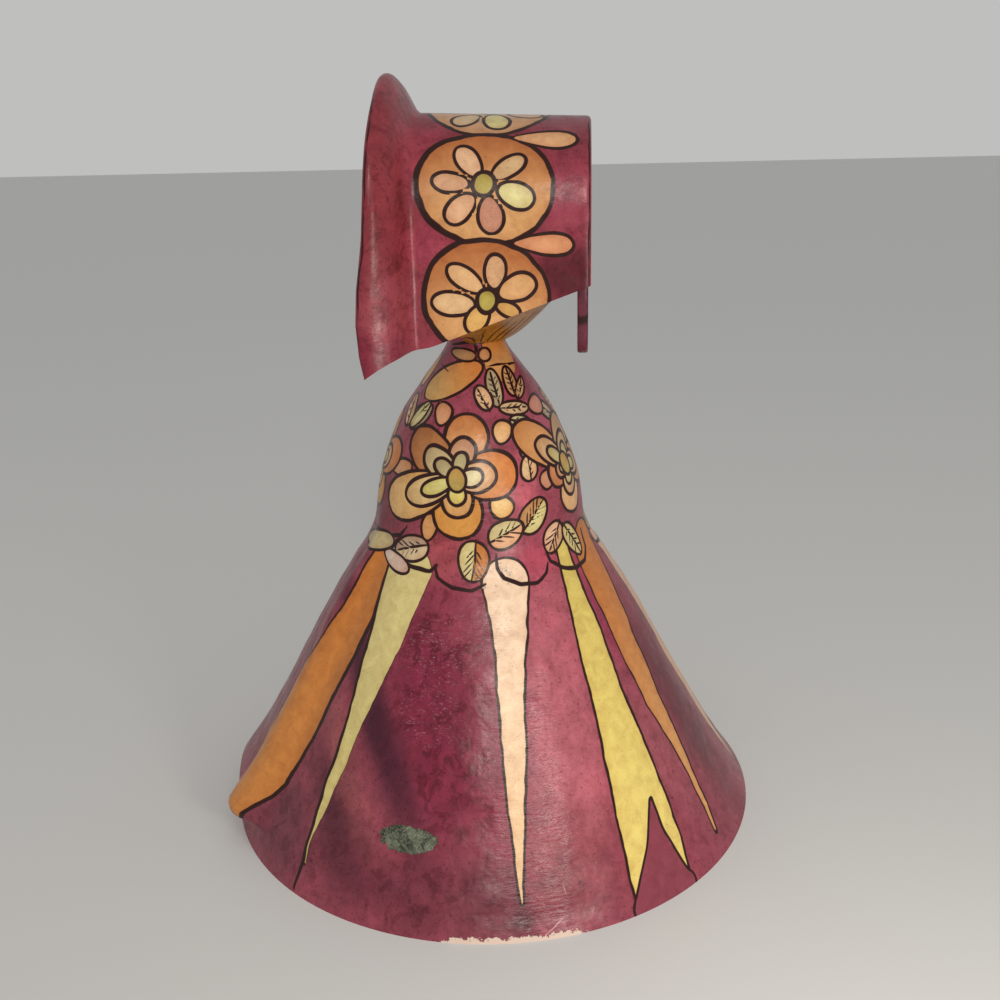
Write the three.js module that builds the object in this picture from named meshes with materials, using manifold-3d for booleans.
// A papier-mache lady in a wide skirt and a poke bonnet: one moulded, painted piece.
// Millimetres, +Z up, standing on z = 0. The lady faces -X, so the bonnet opens to -X.
import * as THREE from "three";
import Module from "manifold-3d";

// ---- driving sizes ---------------------------------------------------------------------------------
// Skirt, bodice and neck: height, radius, and how far the handmade axis has drifted along X.
const BODY = [
  [0, 120, 0], [3, 118.4, -0.6], [8, 115.4, -1.2], [14, 112.0, -1.6], [20, 108.4, -1.9],
  [35, 99.7, -2.0], [50, 91.6, -2.0], [65, 83.4, -2.0], [80, 75.4, -2.0], [95, 67.2, -2.0],
  [108, 59.5, -2.2], [116, 54.6, -2.5], [123, 50.0, -2.8], [129, 47.4, -3.0], [135, 45.9, -3.2],
  [142, 45.2, -3.2], [149, 44.3, -3.1], [156, 42.8, -3.0], [163, 40.4, -2.9], [170, 37.6, -2.8],
  [177, 34.6, -2.8], [184, 30.6, -2.7], [190, 26.6, -2.6], [196, 22.4, -2.6], [202, 17.9, -2.5],
  [207, 14.3, -2.5], [211, 12.2, -2.5], [216, 12.0, -2.5], [226, 12.0, -2.5],
];
const ROUND = 68; // facets round the body

// The two padded bands down the front of the skirt, and the panel between them.
const BAND_AT = 22; // degrees either side of the front
const BAND_HALF = 13; // half the width of a band, degrees
const BAND_HIGH = [
  [8.5, 0], [10.5, 6], [13, 11.5], [16, 13.6], [20, 12.8], [26, 10.8], [35, 8.8], [50, 7.4],
  [75, 6.4], [104, 6], [116, 4.8], [124, 3.4], [134, 0.8], [142, 0],
];
const PANEL_SHARE = 0.5; // how high the panel stands against the bands
const FAR_SHARE = 0.5; // the band on the far side is flatter

// The bonnet, in its own frame: x back from the neck's axis, y across, z up.
const NECK_X = -2.5; // the neck's axis
const TURN = -4.4; // the head is turned a little, degrees
const CROWN_R = 36; // half width of the crown and radius of its round top
const CROWN_FRONT = -5; // where the crown is filled by the head
const CROWN_BACK = 48;
const ARCH_Z = 266; // centre of the round top, at the front
const ARCH_DROP = 0.035; // the top falls this much per mm backwards
const EDGE_Z = 219.6; // lower edge of the bonnet, at the neck's axis
const EDGE_RISE = 0.37; // and its rise per mm backwards
// The brim in section, x against radius: out along the outside, round the lip, back along the inside.
const BRIM = [
  [-4, 36.0], [-20.2, 36.1], [-22.2, 37.8], [-23.8, 40.8], [-25.3, 43.7], [-27.1, 46.7],
  [-29.3, 49.3], [-31.8, 51.0], [-33.4, 50.8], [-34.3, 49.2], [-33.9, 47.2], [-32.0, 45.4],
  [-30.2, 43.0], [-28.7, 40.2], [-27.2, 37.2], [-25.4, 34.4], [-22.8, 32.8], [-19.0, 32.4], [-4, 32.4],
];
// The brim's cheeks run this much further forward lower down: height, reach.
const CHEEK = [
  [204, 4.2], [209, 5.6], [213, 6.6], [225, 7.2], [238, 6.2], [250, 4.2], [258, 3.0], [273, 1.8], [291, 1], [306, 0],
];
const CURTAIN = { x0: 42.8, x1: 47, bottom: 209.5, half: 33, corner: 9 }; // flat back panel
const BOWL = { back: 37, swell: 1.4, side: 0.75 }; // underside of the head: its reach, and how it swells

// The face: an egg set in the bonnet.
const FACE = { x: 7, z: 247.5, rx: 28, ry: 25.5, rz: 34.5 };

// ---- small helpers -----------------------------------------------------------------------------------
const rad = (d) => (d * Math.PI) / 180;
const clamp = (t, a = 0, b = 1) => Math.min(b, Math.max(a, t));
const ease = (t) => { const s = clamp(t); return s * s * (3 - 2 * s); };
const bell = (t) => (Math.abs(t) < 1 ? Math.cos((t * Math.PI) / 2) ** 2 : 0);

function along(table, at, column = 1) {
  if (at <= table[0][0]) return table[0][column];
  for (let i = 1; i < table.length; i++) {
    const [a, b] = [table[i - 1], table[i]];
    if (at <= b[0]) return a[column] + ((b[column] - a[column]) * (at - a[0])) / (b[0] - a[0]);
  }
  return table[table.length - 1][column];
}

// Closed skin over rings of equal length; the two end rings are closed by fans about a point each.
function skin(rings, first, last, closedRound = true) {
  const n = rings[0].length;
  const points = rings.flat();
  const faces = [];
  const span = closedRound ? n : n - 1;
  for (let i = 0; i + 1 < rings.length; i++) {
    for (let j = 0; j < span; j++) {
      const k = (j + 1) % n;
      const [a, b, c, d] = [i * n + j, i * n + k, (i + 1) * n + k, (i + 1) * n + j];
      faces.push(a, b, c, a, c, d);
    }
  }
  const p = points.push(first) - 1;
  const q = points.push(last) - 1;
  const top = (rings.length - 1) * n;
  for (let j = 0; j < n; j++) {
    const k = (j + 1) % n;
    faces.push(p, k, j, q, top + j, top + k);
  }
  return { points, faces };
}

const middle = (ring) => [0, 1, 2].map((c) => ring.reduce((s, v) => s + v[c], 0) / ring.length);

// ---- the body ----------------------------------------------------------------------------------------
// Height of the front bands and panel above the plain cone; turn is measured from the front.
function frontRelief(turn, z) {
  const t = Math.abs(turn);
  const high = along(BAND_HIGH, z) * (turn < 0 ? FAR_SHARE + (1 - FAR_SHARE) * ease(1 + turn / 12) : 1);
  const band = high * bell((t - BAND_AT) / BAND_HALF);
  const panel = t < BAND_AT ? high * PANEL_SHARE : 0;
  return Math.max(band, panel);
}

function bodyLevels() {
  const extra = [9.5, 10.5, 12, 13, 16, 18, 26, 42];
  return [...BODY.map((row) => row[0]), ...extra].sort((a, b) => a - b);
}

function body() {
  const rings = bodyLevels().map((z) => {
    const ring = [];
    for (let j = 0; j < ROUND; j++) {
      const turn = 360 * (j / ROUND); // from the front, -X
      const folded = turn > 180 ? turn - 360 : turn;
      const r = along(BODY, z) + frontRelief(folded, z);
      ring.push([along(BODY, z, 2) - r * Math.cos(rad(turn)), -r * Math.sin(rad(turn)), z]);
    }
    return ring;
  });
  return skin(rings, [0, 0, 0], [NECK_X, 0, BODY[BODY.length - 1][0]]);
}

// ---- the bonnet --------------------------------------------------------------------------------------
const edgeZ = (x) => EDGE_Z + EDGE_RISE * x + 1.6 * bell((x + 24) / 11) - 2.2 * ease((-33 - x) / 7);
const archZ = (x) => ARCH_Z - ARCH_DROP * Math.max(0, x + 22);

// Arch-shaped line at radius r over station x: up the near side, over the top, down the far side.
function archLine(x, r, sides, arc, low = edgeZ(x)) {
  const line = [];
  const zc = archZ(x);
  for (let i = 0; i < sides; i++) line.push([x, -r, low + ((zc - low) * i) / sides]);
  for (let i = 0; i <= arc; i++) {
    const a = (Math.PI * i) / arc;
    line.push([x, -r * Math.cos(a), zc + r * Math.sin(a)]);
  }
  for (let i = sides - 1; i >= 0; i--) line.push([x, r, low + ((zc - low) * i) / sides]);
  return line;
}

// The cheeks of the brim reach forward towards the bottom.
function cheek([x, y, z]) {
  const share = ease((-25 - x) / 9);
  return [x - along(CHEEK, z) * share, y, z - 3.2 * share * ease((216 - z) / 12)];
}

function brim() {
  const lines = BRIM.map(([x, r]) => archLine(x, r, 5, 22).map(cheek));
  const rings = lines[0].map((_, j) => lines.map((line) => line[j]));
  return skin(rings, middle(rings[0]), middle(rings[rings.length - 1]));
}

// Crown: the arch drawn back from the face to the flat end, filled.
function crown() {
  const stations = [CROWN_FRONT, 0, 14, 28, 40, CROWN_BACK];
  const rings = stations.map((x) => archLine(x, CROWN_R, 4, 22));
  return skin(rings, middle(rings[0]), middle(rings[rings.length - 1]));
}

// Underside of the head: from the lower edge of the crown in and down to the neck.
function bowl() {
  const around = 40;
  const ringAt = (share, lift = 0) => {
    const ring = [];
    for (let j = 0; j < around; j++) {
      const a = (2 * Math.PI * j) / around;
      const [c, s] = [Math.cos(a), Math.sin(a)];
      const long = c > 0 ? BOWL.back : 1e6;
      const round = Math.pow(Math.abs(c / long) ** 2.6 + Math.abs(s / CROWN_R) ** 2.6, -1 / 2.6);
      const reach = c < 0 ? Math.min(round, CROWN_FRONT / c) : round;
      const r = 11.6 + (reach - 11.6) * share;
      const power = BOWL.side + (BOWL.swell - BOWL.side) * Math.max(0, c) ** 2;
      const z = 211 + (edgeZ(Math.max(CROWN_FRONT, reach * c)) - 211) * Math.pow(share, power);
      ring.push([r * c, r * s, Math.max(z, 211) + lift]);
    }
    return ring;
  };
  const rings = [0, 0.15, 0.3, 0.45, 0.6, 0.75, 0.88, 1].map((s) => ringAt(s));
  rings.push(ringAt(0.97, 4));
  return skin(rings, [0, 0, 210.5], [10, 0, 228]);
}

// Flat back panel: closes the crown and hangs behind the neck.
function curtain() {
  const { x0, x1, bottom, half, corner } = CURTAIN;
  const outline = [];
  for (let i = 0; i <= 6; i++) {
    const a = rad(90 + (90 * i) / 6);
    outline.push([-half + corner + corner * Math.cos(a), bottom + corner - corner * Math.sin(a)]);
  }
  const zc = archZ(x1);
  outline.push([-CROWN_R + 0.9, edgeZ(x0) - 2]);
  for (let i = 0; i <= 22; i++) {
    const a = (Math.PI * i) / 22;
    outline.push([-(CROWN_R - 0.4) * Math.cos(a), zc + (CROWN_R - 0.4) * Math.sin(a)]);
  }
  outline.push([CROWN_R - 0.9, edgeZ(x0) - 2]);
  for (let i = 6; i >= 0; i--) {
    const a = rad(90 + (90 * i) / 6);
    outline.push([half - corner - corner * Math.cos(a), bottom + corner - corner * Math.sin(a)]);
  }
  const ringAt = (x, inset) => outline.map(([y, z]) => [x, y * (1 - inset / 36), z + (z < 230 ? inset : 0)]);
  const rings = [ringAt(x0, 0.9), ringAt(x0 + 0.9, 0), ringAt(x1 - 0.9, 0), ringAt(x1, 0.9)];
  return skin(rings, middle(rings[0]), middle(rings[3]));
}

// ---- the face ----------------------------------------------------------------------------------------
// Relief over the egg, from plain proportions: eyes half way up, nose and mouth below them.
function faceRelief(y, z) {
  const t = Math.abs(y);
  const spot = (cy, cz, wy, wz) => Math.exp(-(((t - cy) / wy) ** 2) - ((z - cz) / wz) ** 2);
  let h = 0;
  const down = clamp((5 - z) / 13.5); // bridge to tip of the nose
  const ridge = z < 7 && z > -10.5 ? 1 : 0;
  h += ridge * (0.8 + 4.4 * down) * Math.exp(-((y / (1.8 + 1.7 * down)) ** 2)) * ease((z + 10.5) / 2.4);
  h += 1.4 * spot(3.2, -7.6, 1.6, 1.7); // wings of the nose
  h -= 1.7 * spot(9, 2, 5.0, 3.2); // eye sockets
  h += 1.3 * spot(9, 1.6, 3.2, 1.9); // lids
  h += 0.9 * spot(9.5, 8, 5.5, 1.7); // brows
  h += 1.5 * spot(13, -8, 6, 6); // cheeks
  h += 1.3 * spot(2.0, -13.6, 3.2, 1.1) + 1.5 * spot(0, -16.4, 4.0, 1.2); // lips
  h -= 0.7 * spot(0, -20, 4.5, 1.6);
  h += 2.6 * spot(0, -25.5, 6.5, 4.2); // chin
  const rim = Math.hypot(y / 20.5, (z + 1) / (z > 0 ? 24 : 33));
  h += 2.6 * ease((rim - 1) / 0.14); // hair round the face
  return h;
}

function face() {
  const rings = [];
  const [nv, nu] = [44, 52];
  for (let i = 1; i < nv; i++) {
    const b = -Math.PI / 2 + (Math.PI * i) / nv;
    const ring = [];
    for (let j = 0; j < nu; j++) {
      const s = j / nu < 0.5 ? j / nu : 1 - j / nu; // closer together at the front
      const packed = Math.PI * (2 * s) ** 1.35;
      const a = j / nu < 0.5 ? packed : -packed;
      const jaw = 1 - 0.16 * ease((-Math.sin(b) - 0.15) / 0.85);
      const y = FACE.ry * jaw * Math.cos(b) * Math.sin(a);
      const z = FACE.rz * Math.sin(b);
      const h = Math.abs(a) < Math.PI / 2 ? faceRelief(y, z) * Math.cos(b) ** 0.5 : 0;
      ring.push([FACE.x - (FACE.rx * Math.cos(b) + h) * Math.cos(a), -y, FACE.z + z]);
    }
    rings.push(ring);
  }
  return skin(rings, [FACE.x, 0, FACE.z - FACE.rz], [FACE.x, 0, FACE.z + FACE.rz]);
}

// ---- joining and output --------------------------------------------------------------------------------
// From the bonnet's own frame to the figure's.
function turned({ points, faces }) {
  const [c, s] = [Math.cos(rad(TURN)), Math.sin(rad(TURN))];
  return { points: points.map(([x, y, z]) => [NECK_X + x * c - y * s, x * s + y * c, z]), faces };
}

function volumeOf({ points, faces }) {
  let v = 0;
  for (let i = 0; i < faces.length; i += 3) {
    const [a, b, c] = [points[faces[i]], points[faces[i + 1]], points[faces[i + 2]]];
    v += a[0] * (b[1] * c[2] - b[2] * c[1]) - a[1] * (b[0] * c[2] - b[2] * c[0]) + a[2] * (b[0] * c[1] - b[1] * c[0]);
  }
  return v / 6;
}

function solid(wasm, shape) {
  const faces = shape.faces.slice();
  if (volumeOf(shape) < 0) {
    for (let i = 0; i < faces.length; i += 3) [faces[i + 1], faces[i + 2]] = [faces[i + 2], faces[i + 1]];
  }
  const mesh = new wasm.Mesh({
    numProp: 3,
    vertProperties: Float32Array.from(shape.points.flat()),
    triVerts: Uint32Array.from(faces),
  });
  return new wasm.Manifold(mesh);
}

function toMesh(name, manifold, colour) {
  const out = manifold.getMesh();
  const geometry = new THREE.BufferGeometry();
  geometry.setAttribute("position", new THREE.BufferAttribute(Float32Array.from(out.vertProperties), 3));
  geometry.setIndex(new THREE.BufferAttribute(Uint32Array.from(out.triVerts), 1));
  geometry.computeBoundingBox(); // the footprint's middle goes to the origin
  const box = geometry.boundingBox;
  geometry.translate(-(box.min.x + box.max.x) / 2, -(box.min.y + box.max.y) / 2, -box.min.z);
  geometry.computeVertexNormals();
  const mesh = new THREE.Mesh(geometry, new THREE.MeshStandardMaterial({ color: colour, roughness: 0.45 }));
  mesh.name = name;
  return mesh;
}

const wasm = await Module();
wasm.setup();
const shapes = [body(), turned(brim()), turned(crown()), turned(bowl()), turned(curtain()), turned(face())];
let figure = null;
for (const shape of shapes) {
  const piece = solid(wasm, shape);
  figure = figure ? figure.add(piece) : piece;
}

const group = new THREE.Group();
group.name = "papier_mache_figure";
group.add(toMesh("figure", figure, "#8c3a55"));
export default group;
